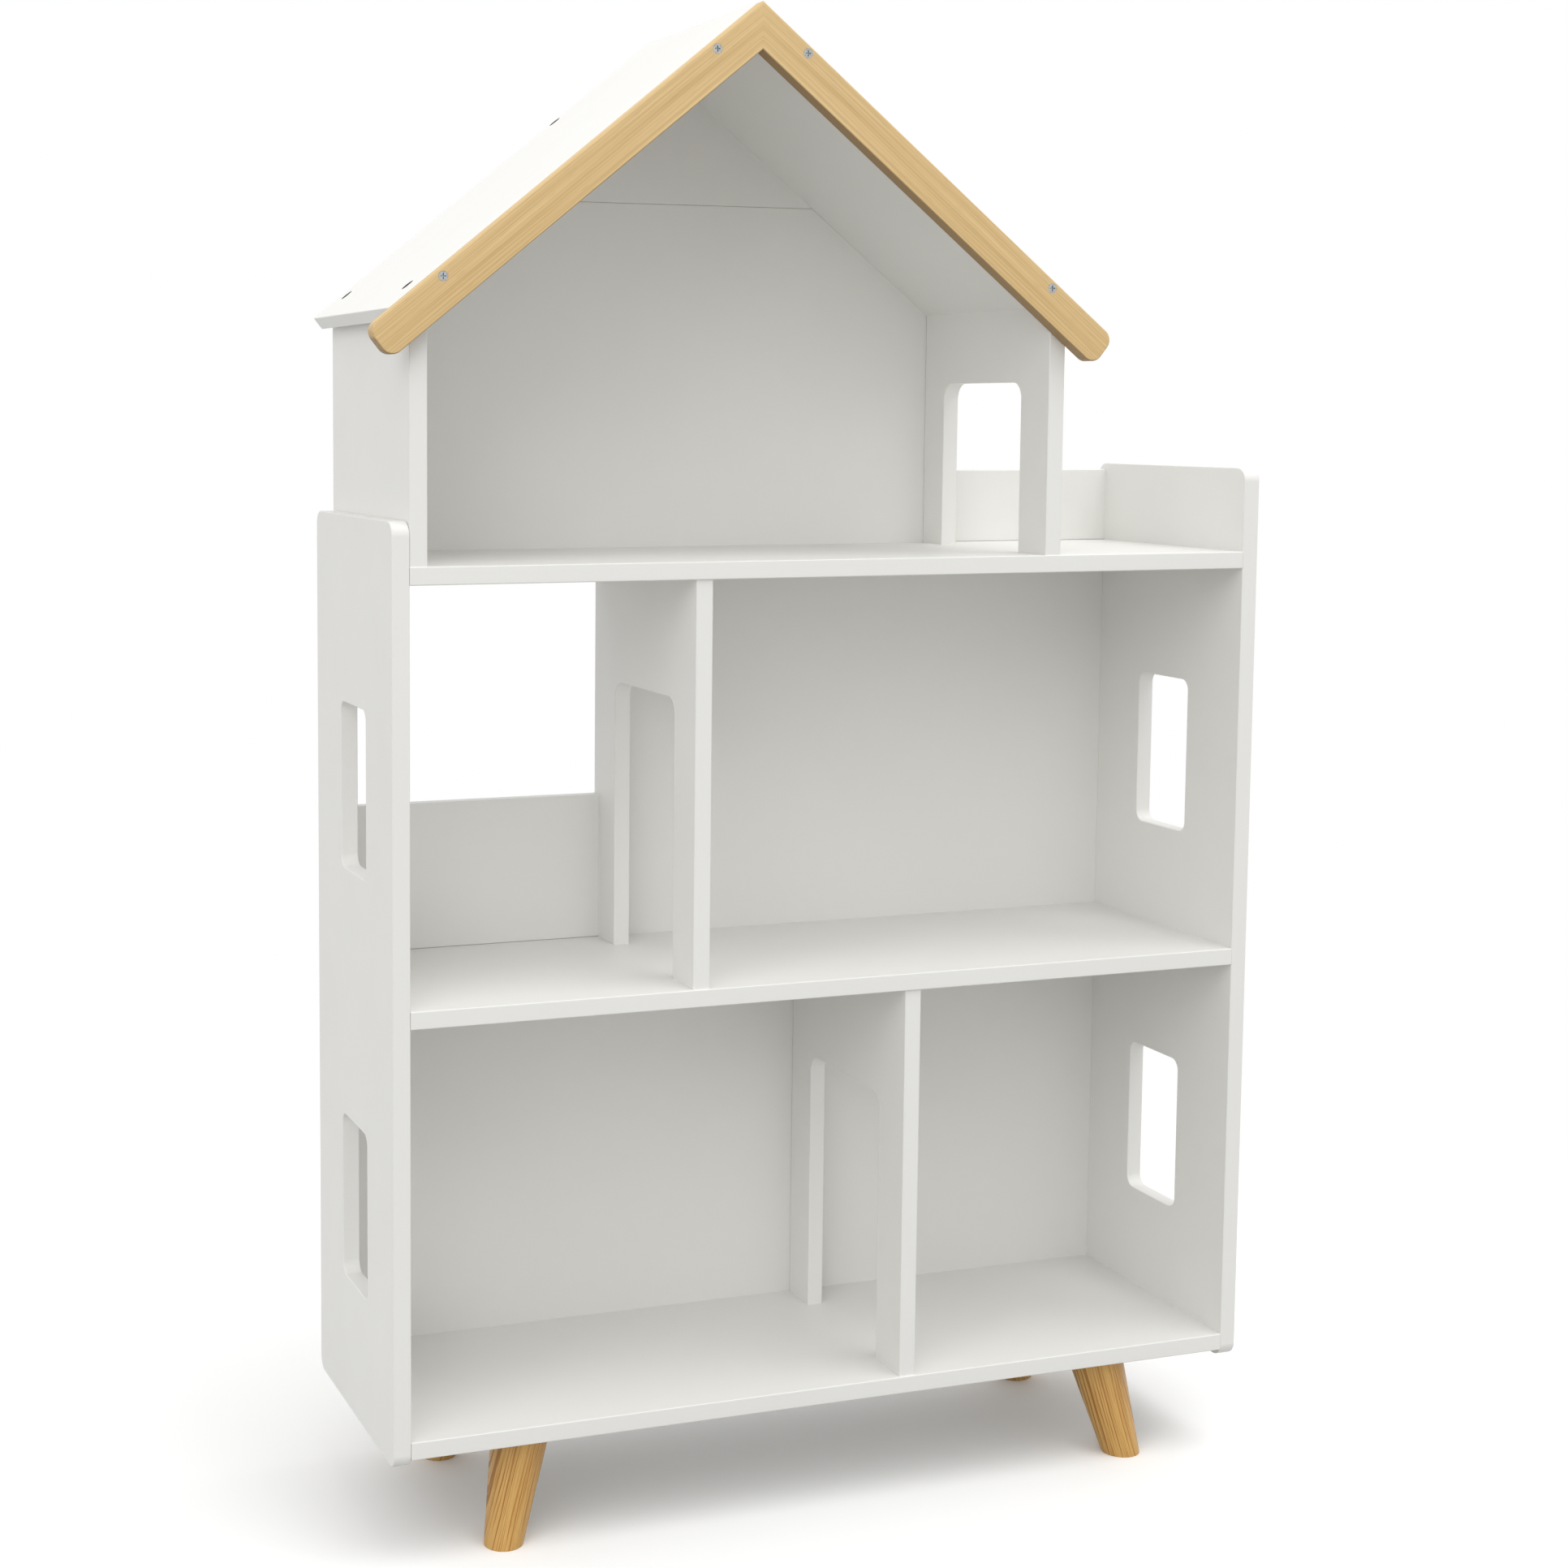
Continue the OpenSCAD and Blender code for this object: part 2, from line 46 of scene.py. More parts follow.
def make_camera():
    """A camera in front of the object and to its left, looking right and a little down."""
    look = Vector((-math.sin(YAW) * math.cos(PITCH), math.cos(YAW) * math.cos(PITCH),
                   math.sin(PITCH)))
    level_right = Vector((math.cos(YAW), math.sin(YAW), 0.0))
    level_up = level_right.cross(look)
    right = math.cos(ROLL) * level_right + math.sin(ROLL) * level_up
    up = math.cos(ROLL) * level_up - math.sin(ROLL) * level_right
    data = bpy.data.cameras.new("camera")
    data.sensor_width = SENSOR_MM
    data.lens = FOCAL_PX / IMAGE * SENSOR_MM
    data.shift_x = (IMAGE / 2 - CENTRE_PX[0]) / IMAGE
    data.shift_y = (CENTRE_PX[1] - IMAGE / 2) / IMAGE
    camera = bpy.data.objects.new("camera", data)
    scene.collection.objects.link(camera)
    axes = Matrix((right, up, -look)).transposed().to_4x4()
    camera.matrix_world = Matrix.Translation(CAMERA_AT) @ axes
    scene.camera = camera


make_camera()

# ---- node helpers ----

EDGE_SAMPLES = 4
EDGE_TURN = (0.99, 0.80)
CREVICE_SAMPLES = 8


class Paint:
    """One material and short calls that add nodes to it."""

    def __init__(self, name):
        self.material = bpy.data.materials.new(name)
        self.material.use_nodes = True
        self.tree = self.material.node_tree
        self.tree.nodes.clear()
        self.output = self.add("ShaderNodeOutputMaterial")
        self.surface = self.add("ShaderNodeBsdfPrincipled")
        self.join(self.surface.outputs["BSDF"], self.output.inputs["Surface"])

    def add(self, kind, **settings):
        node = self.tree.nodes.new(kind)
        for key, value in settings.items():
            setattr(node, key, value)
        return node

    def join(self, source, target):
        self.tree.links.new(source, target)

    def coords(self):
        return self.add("ShaderNodeTexCoord").outputs["Object"]

    def mapped(self, vector, kind="POINT", location=(0, 0, 0), rotation=(0, 0, 0),
               scale=(1, 1, 1)):
        node = self.add("ShaderNodeMapping", vector_type=kind)
        node.inputs["Location"].default_value = location
        node.inputs["Rotation"].default_value = rotation
        node.inputs["Scale"].default_value = scale
        self.join(vector, node.inputs["Vector"])
        return node.outputs["Vector"]

    def noise(self, vector, scale, detail=2.0, roughness=0.5):
        node = self.add("ShaderNodeTexNoise")
        node.inputs["Scale"].default_value = scale
        node.inputs["Detail"].default_value = detail
        node.inputs["Roughness"].default_value = roughness
        self.join(vector, node.inputs["Vector"])
        return node.outputs["Fac"]

    def ramp(self, factor, stops):
        node = self.add("ShaderNodeValToRGB")
        elements = node.color_ramp.elements
        while len(elements) < len(stops):
            elements.new(0.5)
        for element, (place, colour) in zip(elements, stops):
            element.position = place
            element.color = (*colour, 1.0)
        self.join(factor, node.inputs["Fac"])
        return node.outputs["Color"]

    def remap(self, value, low, high, new_low, new_high):
        node = self.add("ShaderNodeMapRange", interpolation_type="SMOOTHSTEP")
        node.inputs["From Min"].default_value = low
        node.inputs["From Max"].default_value = high
        node.inputs["To Min"].default_value = new_low
        node.inputs["To Max"].default_value = new_high
        self.join(value, node.inputs["Value"])
        return node.outputs["Result"]

    def math(self, operation, first, second):
        node = self.add("ShaderNodeMath", operation=operation)
        for socket, value in zip(node.inputs, (first, second)):
            if isinstance(value, (int, float)):
                socket.default_value = value
            else:
                self.join(value, socket)
        return node.outputs["Value"]

    def mix(self, factor, first, second):
        node = self.add("ShaderNodeMix", data_type="RGBA")
        for socket, value in zip((node.inputs[0], node.inputs[6], node.inputs[7]),
                                 (factor, first, second)):
            if isinstance(value, tuple):
                socket.default_value = (*value, 1.0)
            elif isinstance(value, (int, float)):
                socket.default_value = value
            else:
                self.join(value, socket)
        return node.outputs[2]

    def edge_mask(self, radius):
        """1 along the edges of a piece and 0 on its faces.

        The product of a face's normal and the one rounded within radius falls from the first
        value of EDGE_TURN to the second as the edge comes near.
        """
        rounded = self.add("ShaderNodeBevel", samples=EDGE_SAMPLES)
        rounded.inputs["Radius"].default_value = radius
        true_normal = self.add("ShaderNodeNewGeometry").outputs["True Normal"]
        product = self.add("ShaderNodeVectorMath", operation="DOT_PRODUCT")
        self.join(rounded.outputs["Normal"], product.inputs[0])
        self.join(true_normal, product.inputs[1])
        return self.remap(product.outputs["Value"], *EDGE_TURN, 0.0, 1.0)

    def crevice_mask(self, reach, open_part, closed_part):
        """0 where at least open_part of the sky near by is clear, 1 at closed_part of it."""
        shade = self.add("ShaderNodeAmbientOcclusion", samples=CREVICE_SAMPLES)
        shade.inputs["Distance"].default_value = reach
        return self.remap(shade.outputs["AO"], open_part, closed_part, 0.0, 1.0)

    def bump(self, height, distance):
        node = self.add("ShaderNodeBump")
        node.inputs["Strength"].default_value = 1.0
        node.inputs["Distance"].default_value = distance
        self.join(height, node.inputs["Height"])
        self.join(node.outputs["Normal"], self.surface.inputs["Normal"])

    def colour(self, source):
        self.join(source, self.surface.inputs["Base Color"])

    def roughness(self, source):
        self.join(source, self.surface.inputs["Roughness"])

    def set(self, **values):
        for key, value in values.items():
            self.surface.inputs[key.replace("_", " ")].default_value = value


# ---- finishes ----

# Noise scales count features per metre, one value for each axis where a grain runs along
# one of them. Depths and reaches are in metres. A span is the range of a value over which a
# mask comes in, and a share is how strong the mask gets.
NOISE_SPAN = (0.30, 0.70)
WHITE_LOW = (0.796, 0.789, 0.762)
WHITE_HIGH = (0.806, 0.801, 0.774)
WHITE_RUBBED = (0.735, 0.725, 0.690)
# Painted shade: a darker tone for the joints and creases that ambient occlusion finds.
JOINT_SHADE = (0.600, 0.585, 0.555)
JOINT_REACH = 0.0025
JOINT_SKY = (0.42, 0.16)
# Raw board and painted shade: the near black brown inside the roof's bores stands for unlacquered
# board lying in shade.
RAW_BOARD_AND_SHADE = (0.110, 0.085, 0.062)
RUBBED_REACH = 0.0016
RUBBED_SPAN = (0.45, 0.70)
RUBBED_SHARE = 0.5
CLOUD_SCALE = 6.5
RUB_SCALE = 38.0
SMEAR_SCALE = 24.0
PEEL_SCALE = 620.0
PEEL_DEPTH = 0.00006
LACQUER_ROUGH = (0.42, 0.48)
LACQUER_IOR = 1.46
BORE_EDGE = 0.94
FAR_OFF = 1.0


def bore_mask(paint, ridge_x, screws, radius):
    """1 in and close round the upright bores, which stand in pairs beside the ridge.

    It comes in between the radius and BORE_EDGE of it.
    """
    place = paint.mapped(paint.coords(), "POINT", (-ridge_x, 0.0, 0.0))
    mirrored = paint.add("ShaderNodeVectorMath", operation="ABSOLUTE")
    paint.join(place, mirrored.inputs[0])
    across = paint.add("ShaderNodeSeparateXYZ")
    paint.join(mirrored.outputs["Vector"], across.inputs["Vector"])
    along = paint.add("ShaderNodeSeparateXYZ")
    paint.join(place, along.inputs["Vector"])
    nearest = FAR_OFF
    for reach, screw_y in screws:
        side = paint.math("SUBTRACT", across.outputs["X"], reach)
        deep = paint.math("SUBTRACT", along.outputs["Y"], screw_y)
        squares = paint.math("ADD", paint.math("MULTIPLY", side, side),
                             paint.math("MULTIPLY", deep, deep))
        nearest = paint.math("MINIMUM", nearest, paint.math("SQRT", squares, 0.0))
    return paint.remap(nearest, radius, radius * BORE_EDGE, 0.0, 1.0)


def white_lacquer(name, bores=None):
    """Satin white lacquer, rubbed at the edges, with painted shade in the joints, and raw board
    painted as dark as shade inside the bores.
    """
    paint = Paint(name)
    place = paint.coords()
    cloud = paint.noise(place, CLOUD_SCALE, detail=3.0)
    base = paint.ramp(cloud, [(0.30, WHITE_LOW), (0.70, WHITE_HIGH)])
    rub = paint.noise(place, RUB_SCALE, detail=4.0, roughness=0.65)
    patches = paint.remap(rub, *RUBBED_SPAN, 0.0, RUBBED_SHARE)
    worn = paint.math("MULTIPLY", paint.edge_mask(RUBBED_REACH), patches)
    edged = paint.mix(worn, base, WHITE_RUBBED)
    # Painted shade: joints and creases are mixed towards a darker tone by ambient occlusion.
    joint_shaded = paint.mix(paint.crevice_mask(JOINT_REACH, *JOINT_SKY), edged, JOINT_SHADE)
    # Painted shade: the roof's bores get a near black raw board colour in place of their shade.
    finished = paint.mix(bore_mask(paint, *bores), joint_shaded, RAW_BOARD_AND_SHADE) if bores else joint_shaded
    paint.colour(finished)
    smear = paint.noise(place, SMEAR_SCALE, detail=3.0)
    paint.roughness(paint.remap(smear, *NOISE_SPAN, *LACQUER_ROUGH))
    peel = paint.noise(place, PEEL_SCALE, detail=2.0)
    paint.bump(peel, PEEL_DEPTH)
    paint.set(IOR=LACQUER_IOR)
    return paint.material


OAK_LIGHT = (0.755, 0.560, 0.285)
OAK_MIDDLE = (0.675, 0.478, 0.226)
OAK_DARK = (0.570, 0.380, 0.165)
OAK_PORE = (0.430, 0.262, 0.110)
OAK_END = (0.500, 0.325, 0.145)
# Painted shade: the dark brown given to the fascia's faces that look down.
OAK_UNDERSIDE_SHADE = (0.270, 0.165, 0.070)
OAK_BAND_SCALE = (0.9, 150.0, 150.0)
OAK_FIBRE_SCALE = (5.0, 760.0, 760.0)
OAK_PORE_SCALE = (40.0, 1900.0, 1900.0)
OAK_BAND_SHARE = 0.48
OAK_FIBRE_SHARE = 0.52
OAK_PORE_SPAN = (0.62, 0.74)
OAK_PORE_SHARE = 0.45
OAK_END_SPAN = (0.55, 0.95)
OAK_END_SHARE = 0.6
OAK_SHADE_SPAN = (-0.35, -0.70)
OAK_SHADE_SHARE = 0.85
OAK_ROUGH = (0.48, 0.62)
OAK_DEPTH = 0.00012
OAK_IOR = 1.45


def oak(name, apex, turn, flip):
    """Straight grained light oak, its grain running down one slope of the roof, with painted
    shade on the faces that look down.

    X starts at the apex and is turned down the slope. A flip of -1 turns the board's width
    round, so that the left side mirrors the right.
    """
    paint = Paint(name)
    along = paint.mapped(paint.coords(), "TEXTURE", apex, (0.0, turn, 0.0), (1.0, 1.0, flip))
    bands = paint.noise(paint.mapped(along, scale=OAK_BAND_SCALE), 1.0, detail=1.5)
    fibres = paint.noise(paint.mapped(along, scale=OAK_FIBRE_SCALE), 1.0, detail=3.0)
    pores = paint.noise(paint.mapped(along, scale=OAK_PORE_SCALE), 1.0, detail=1.0)
    grain = paint.math("ADD", paint.math("MULTIPLY", bands, OAK_BAND_SHARE),
                       paint.math("MULTIPLY", fibres, OAK_FIBRE_SHARE))
    base = paint.ramp(grain, [(0.36, OAK_DARK), (0.50, OAK_MIDDLE), (0.63, OAK_LIGHT)])
    pitted = paint.remap(pores, *OAK_PORE_SPAN, 0.0, OAK_PORE_SHARE)
    pored = paint.mix(pitted, base, OAK_PORE)
    length_way = paint.add("ShaderNodeSeparateXYZ")
    facing = paint.add("ShaderNodeNewGeometry").outputs["True Normal"]
    turned = paint.mapped(facing, "TEXTURE", (0.0, 0.0, 0.0), (0.0, turn, 0.0))
    paint.join(turned, length_way.inputs["Vector"])
    at_end = paint.math("ABSOLUTE", length_way.outputs["X"], 0.0)
    end_grain = paint.remap(at_end, *OAK_END_SPAN, 0.0, OAK_END_SHARE)
    ended = paint.mix(end_grain, pored, OAK_END)
    # Painted shade: faces that turn downwards are mixed towards dark brown.
    upright = paint.add("ShaderNodeSeparateXYZ")
    paint.join(facing, upright.inputs["Vector"])
    under = paint.remap(upright.outputs["Z"], *OAK_SHADE_SPAN, 0.0, OAK_SHADE_SHARE)
    paint.colour(paint.mix(under, ended, OAK_UNDERSIDE_SHADE))
    paint.roughness(paint.remap(fibres, *NOISE_SPAN, *OAK_ROUGH))
    paint.bump(fibres, OAK_DEPTH)
    paint.set(IOR=OAK_IOR)
    return paint.material


PINE_LIGHT = (0.675, 0.415, 0.132)
PINE_MIDDLE = (0.565, 0.302, 0.079)
PINE_DARK = (0.355, 0.148, 0.022)
PINE_END = (0.460, 0.260, 0.095)

# RING_RATE and RING_DRIFT count the features of the rings per metre, across and along the
# leg; RING_WAVE is the number of features by which a slow wave shifts them.
RING_RATE = 900.0
RING_DRIFT = 9.0
RING_WAVE = 2.2
PINE_WAVE_SCALE = (70.0, 70.0, 9.0)
PINE_FIBRE_SCALE = (1500.0, 1500.0, 24.0)
PINE_FIBRE_SHARE = 0.42
PINE_LATE_SPAN = (0.46, 0.70)
PINE_END_SPAN = (0.80, 0.98)
PINE_END_SHARE = 0.6
PINE_ROUGH = (0.34, 0.46)
PINE_DEPTH = 0.00006
PINE_IOR = 1.48


def pine(name, top, lean, pith, slant):
    """Turned pine: uneven growth rings round a pith beside the leg, cut by the cone.

    The leg's own axis starts at its top and leans as the leg does; the pith runs beside it,
    turned by slant against it.
    """
    paint = Paint(name)
    local = paint.mapped(paint.coords(), "TEXTURE", top, lean)
    slow = paint.noise(paint.mapped(local, scale=PINE_WAVE_SCALE), 1.0, detail=2.0)
    centred = paint.mapped(local, "POINT", pith, slant)
    flat = paint.add("ShaderNodeVectorMath", operation="MULTIPLY")
    paint.join(centred, flat.inputs[0])
    flat.inputs[1].default_value = (1.0, 1.0, 0.0)
    radius = paint.add("ShaderNodeVectorMath", operation="LENGTH")
    paint.join(flat.outputs["Vector"], radius.inputs[0])
    counted = paint.math("MULTIPLY", radius.outputs["Value"], RING_RATE)
    drifted = paint.math("ADD", counted, paint.math("MULTIPLY", slow, RING_WAVE))
    height = paint.add("ShaderNodeSeparateXYZ")
    paint.join(local, height.inputs["Vector"])
    place = paint.add("ShaderNodeCombineXYZ")
    paint.join(drifted, place.inputs["X"])
    paint.join(paint.math("MULTIPLY", height.outputs["Z"], RING_DRIFT), place.inputs["Z"])
    rings = paint.noise(place.outputs["Vector"], 1.0, detail=2.0, roughness=0.6)
    fibres = paint.noise(paint.mapped(local, scale=PINE_FIBRE_SCALE), 1.0, detail=3.0)
    late = paint.remap(rings, *PINE_LATE_SPAN, 0.0, 1.0)
    grain = paint.math("ADD", late, paint.math("MULTIPLY", fibres, PINE_FIBRE_SHARE))
    base = paint.ramp(grain, [(0.10, PINE_LIGHT), (0.45, PINE_MIDDLE), (1.00, PINE_DARK)])
    facing = paint.add("ShaderNodeSeparateXYZ")
    paint.join(paint.add("ShaderNodeNewGeometry").outputs["True Normal"], facing.inputs["Vector"])
    at_end = paint.math("ABSOLUTE", facing.outputs["Z"], 0.0)
    end_grain = paint.remap(at_end, *PINE_END_SPAN, 0.0, PINE_END_SHARE)
    paint.colour(paint.mix(end_grain, base, PINE_END))
    paint.roughness(paint.remap(fibres, *NOISE_SPAN, *PINE_ROUGH))
    paint.bump(grain, PINE_DEPTH)
    paint.set(IOR=PINE_IOR)
    return paint.material


ZINC_DARK = (0.330, 0.345, 0.350)
ZINC_LIGHT = (0.560, 0.575, 0.580)
STEEL_DARK = (0.060, 0.062, 0.066)
STEEL_LIGHT = (0.120, 0.124, 0.130)
MOTTLE_SCALE = 750.0
GRIT_SCALE = 1800.0
GRIT_DEPTH = 0.00005
METAL_ROUGH = (0.38, 0.58)


def plated(name, dark, light, metallic, specular):
    """Dull metal with the mottling of small screw heads."""
    paint = Paint(name)
    place = paint.coords()
    mottle = paint.noise(place, MOTTLE_SCALE, detail=4.0, roughness=0.6)
    paint.colour(paint.ramp(mottle, [(0.32, dark), (0.66, light)]))
    paint.roughness(paint.remap(mottle, *NOISE_SPAN, *METAL_ROUGH))
    paint.bump(paint.noise(place, GRIT_SCALE, detail=2.0), GRIT_DEPTH)
    paint.set(Metallic=metallic, Specular_IOR_Level=specular)
    return paint.material


BEECH_LIGHT = (0.700, 0.500, 0.290)
BEECH_DARK = (0.560, 0.370, 0.190)
FLECK_SCALE = (120.0, 900.0, 120.0)
FLECK_DEPTH = 0.00008
BEECH_ROUGH = (0.60, 0.74)


def beech():
    """Raw beech for the dowels, finely flecked."""
    paint = Paint("beech")
    place = paint.coords()
    flecks = paint.noise(paint.mapped(place, scale=FLECK_SCALE), 1.0, detail=3.0)
    paint.colour(paint.ramp(flecks, [(0.36, BEECH_DARK), (0.62, BEECH_LIGHT)]))
    paint.roughness(paint.remap(flecks, *NOISE_SPAN, *BEECH_ROUGH))
    paint.bump(flecks, FLECK_DEPTH)
    return paint.material


# ---- which node takes which finish ----

WHITE_BOARDS = (
    "side_panel_left", "side_panel_right", "shelf_top", "shelf_middle", "shelf_bottom",
    "divider_middle", "divider_lower", "house_wall_left", "house_wall_right",
    "house_back_lower", "house_back_gable", "back_panel_middle", "back_panel_lower",
    "nook_back_rail", "ledge_back_guard",
)
ROOF_BOARDS = ("roof_panel_left", "roof_panel_right")
ZINC_PIECES = ("leg_bolts", "shelf_cams", "shelf_cam_bolts", "house_wall_screws", "fascia_screws")
# Dark steel and painted shade: the roof screws are near black and without sheen, standing also
# for the shade in their bores.
STEEL_PIECES = ("roof_screws",)
DOWELS = ("shelf_dowels", "divider_dowels", "rail_dowels")

# Half the width of a roof screw's head, how far from its middle raw board, painted as dark as
# shade, shows, and where the screws at the wall's back and at the gable stand.
SCREW_HEAD = 0.0040
SCREW_RIM = 0.0047
WALL_BACK_SCREW_Y = 0.1065
GABLE_SCREW_REACH = 0.0910

ROOF_ANGLE = math.radians(38.8)
LEG_HEIGHT = 0.093
LEG_LEAN = (0.021, 0.017)
LEG_TOP_X = 0.277
LEG_TOP_Y = 0.079
BODY_MIDDLE = (0.00947, 0.0075)

# Each leg's side and end of the body, where its pith lies beside its top, and the slant of
# the pith in radians, seen from the front.
LEGS = {
    "leg_front_left": (-1, -1, (-0.038, 0.013), -0.035),
    "leg_front_right": (1, -1, (-0.036, 0.023), 0.035),
    "leg_back_left": (-1, 1, (-0.040, -0.014), -0.07),
    "leg_back_right": (1, 1, (0.038, -0.012), 0.09),
}


def finish(name, material):
    """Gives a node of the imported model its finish."""
    slots = nodes[name].data.materials
    slots.clear()
    slots.append(material)


def finish_boards():
    """White lacquer on every board; on the roof also raw board, painted as dark as shade, in the
    screws' bores.
    """
    low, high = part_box("roof_screws")
    reach = (high.x - low.x) / 2 - SCREW_HEAD
    screws = ((reach, low.y + SCREW_HEAD), (reach, WALL_BACK_SCREW_Y),
              (GABLE_SCREW_REACH, high.y - SCREW_HEAD))
    lacquer = white_lacquer("white_lacquer")
    bored = white_lacquer("white_roof", ((low.x + high.x) / 2, screws, SCREW_RIM))
    for name in WHITE_BOARDS:
        finish(name, lacquer)
    for name in ROOF_BOARDS:
        finish(name, bored)


def finish_fascia():
    """Oak whose grain runs down from the apex on both sides."""
    low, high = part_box("fascia_right")
    apex = Vector((low.x, low.y, high.z))
    finish("fascia_right", oak("oak_right", apex, ROOF_ANGLE, 1.0))
    finish("fascia_left", oak("oak_left", apex, math.pi - ROOF_ANGLE, -1.0))


def finish_legs():
    """Pine for each leg, in the leg's own direction."""
    reach = math.hypot(*LEG_LEAN)
    tilt = math.atan2(reach, LEG_HEIGHT)
    for name, (side, end, (pith_x, pith_y), slant) in LEGS.items():
        turn = math.atan2(end * LEG_LEAN[1], side * LEG_LEAN[0])
        pith = Matrix.Rotation(-turn, 3, "Z") @ Vector((pith_x, pith_y, 0.0))
        top = (BODY_MIDDLE[0] + side * LEG_TOP_X, BODY_MIDDLE[1] + end * LEG_TOP_Y, LEG_HEIGHT)
        sideways = (slant * math.sin(turn), slant * math.cos(turn), 0.0)
        finish(name, pine("pine_" + name, top, (0.0, -tilt, turn), pith, sideways))


def finish_fixings():
    """Zinc for what shows or holds the boards, dark steel deep in the roof, its near black
    without sheen also painted shade of the bores, raw dowels.
    """
    zinc = plated("zinc_plate", ZINC_DARK, ZINC_LIGHT, metallic=0.85, specular=0.5)
    for name in ZINC_PIECES:
        finish(name, zinc)
    # Painted shade as well as dark steel: near black and almost without sheen, as the screws'
    # deep bores lie in shade.
    steel = plated("dark_steel_and_shade", STEEL_DARK, STEEL_LIGHT, metallic=0.0, specular=0.05)
    for name in STEEL_PIECES:
        finish(name, steel)
    wood = beech()
    for name in DOWELS:
        finish(name, wood)


finish_boards()
finish_fascia()
finish_legs()
finish_fixings()

# ---- eased edges ----

# How far an edge is eased on each kind of piece. The legs' value is an upper limit: their
# facets are narrow slivers, and the bevel is held back, to 0.4 mm, where it would fold them.
BOARD_EASE = 0.0010
ROOF_EASE = 0.0008
FASCIA_EASE = 0.0013
LEG_EASE = 0.0020
EASE_STEPS = 3

# Edges no longer than BORE_RIM belong to the rim of a bore; the legs' feet have none.
BORE_RIM = 0.00125
NO_BORE = 0.0

# Corners nearer than SAME_PLACE are one corner; on the legs CONE_SEAM is used, which also
# closes up the seam of their cone.
SAME_PLACE = 0.000002
CONE_SEAM = 0.00040

# Faces that differ less than FLAT are one face; edges that turn more than SHARP are corners.
FLAT = math.radians(1.0)
SHARP = math.radians(35.0)
ANY_INWARD = 0.00001
ALL_CLEAR = 0.99

# How far from a joint an edge's middle has to be, how deep the roof's slope cuts into the
# tops of the house walls, and how near to the joint of its two boards the house's back is
# eased.
JOINT = 0.0002
SLOPE_CUT = 0.0125
BACK_JOINT = 0.0010


def shape_group(name):
    """An empty node group for a modifier, with its entry and exit."""
    group = bpy.data.node_groups.new(name, "GeometryNodeTree")
    for way in ("INPUT", "OUTPUT"):
        group.interface.new_socket("Geometry", in_out=way, socket_type="NodeSocketGeometry")
    return group, group.nodes.new("NodeGroupInput"), group.nodes.new("NodeGroupOutput")


def edge_picker(name, rim, spans):
    """Node group that gives a bevel weight to a piece's free outer edges.

    Left out are the edges round a bore, which are no longer than rim, those of a groove,
    whose walls are the faces that end in an inward corner, and those whose middle is
    outside a span, where the piece is joined to its neighbour.
    """
    group, entry, leave = shape_group(name)

    def vector_node(operation, first, second):
        node = group.nodes.new("ShaderNodeVectorMath")
        node.operation = operation
        group.links.new(first, node.inputs[0])
        group.links.new(second, node.inputs[1])
        return node

    def math_node(operation, first, second):
        node = group.nodes.new("ShaderNodeMath")
        node.operation = operation
        group.links.new(first, node.inputs[0])
        if isinstance(second, float):
            node.inputs[1].default_value = second
        else:
            group.links.new(second, node.inputs[1])
        return node.outputs["Value"]

    ends = group.nodes.new("GeometryNodeInputMeshEdgeVertices")
    start, stop = ends.outputs["Position 1"], ends.outputs["Position 2"]
    length = vector_node("DISTANCE", start, stop).outputs["Value"]
    doubled = group.nodes.new("ShaderNodeSeparateXYZ")
    group.links.new(vector_node("ADD", start, stop).outputs["Vector"], doubled.inputs["Vector"])
    angle = group.nodes.new("GeometryNodeInputMeshEdgeAngle")
    outward = math_node("GREATER_THAN", angle.outputs["Signed Angle"], SHARP)
    inward = math_node("LESS_THAN", angle.outputs["Signed Angle"], -SHARP)
    walls = group.nodes.new("GeometryNodeFieldOnDomain")
    walls.domain = "FACE"
    walls.data_type = "FLOAT"
    group.links.new(inward, walls.inputs["Value"])
    clear = math_node("LESS_THAN", walls.outputs["Value"], ANY_INWARD)
    picked = math_node("MULTIPLY", outward, math_node("GREATER_THAN", clear, ALL_CLEAR))
    picked = math_node("MULTIPLY", picked, math_node("GREATER_THAN", length, rim))
    for axis, (low, high) in spans.items():
        middle = math_node("MULTIPLY", doubled.outputs[axis], 0.5)
        picked = math_node("MULTIPLY", picked, math_node("GREATER_THAN", middle, low))
        picked = math_node("MULTIPLY", picked, math_node("LESS_THAN", middle, high))
    store = group.nodes.new("GeometryNodeStoreNamedAttribute")
    store.data_type = "FLOAT"
    store.domain = "EDGE"
    store.inputs["Name"].default_value = "bevel_weight_edge"
    group.links.new(entry.outputs["Geometry"], store.inputs["Geometry"])
    group.links.new(picked, store.inputs["Value"])
    group.links.new(store.outputs["Geometry"], leave.inputs["Geometry"])
    return group


def corner_shading():
    """Node group that shades a piece smooth, but for its sharp corners."""
    group, entry, leave = shape_group("corner_shading")
    angle = group.nodes.new("GeometryNodeInputMeshEdgeAngle")
    bent = group.nodes.new("ShaderNodeMath")
    bent.operation = "GREATER_THAN"
    bent.inputs[1].default_value = SHARP
    smooth = group.nodes.new("GeometryNodeSetShadeSmooth")
    smooth.domain = "FACE"
    crisp = group.nodes.new("GeometryNodeSetShadeSmooth")
    crisp.domain = "EDGE"
    crisp.inputs["Shade Smooth"].default_value = False
    group.links.new(angle.outputs["Unsigned Angle"], bent.inputs[0])
    group.links.new(entry.outputs["Geometry"], smooth.inputs["Geometry"])
    group.links.new(smooth.outputs["Geometry"], crisp.inputs["Geometry"])
    group.links.new(bent.outputs["Value"], crisp.inputs["Selection"])
    group.links.new(crisp.outputs["Geometry"], leave.inputs["Geometry"])
    return group


CORNER_SHADING = corner_shading()


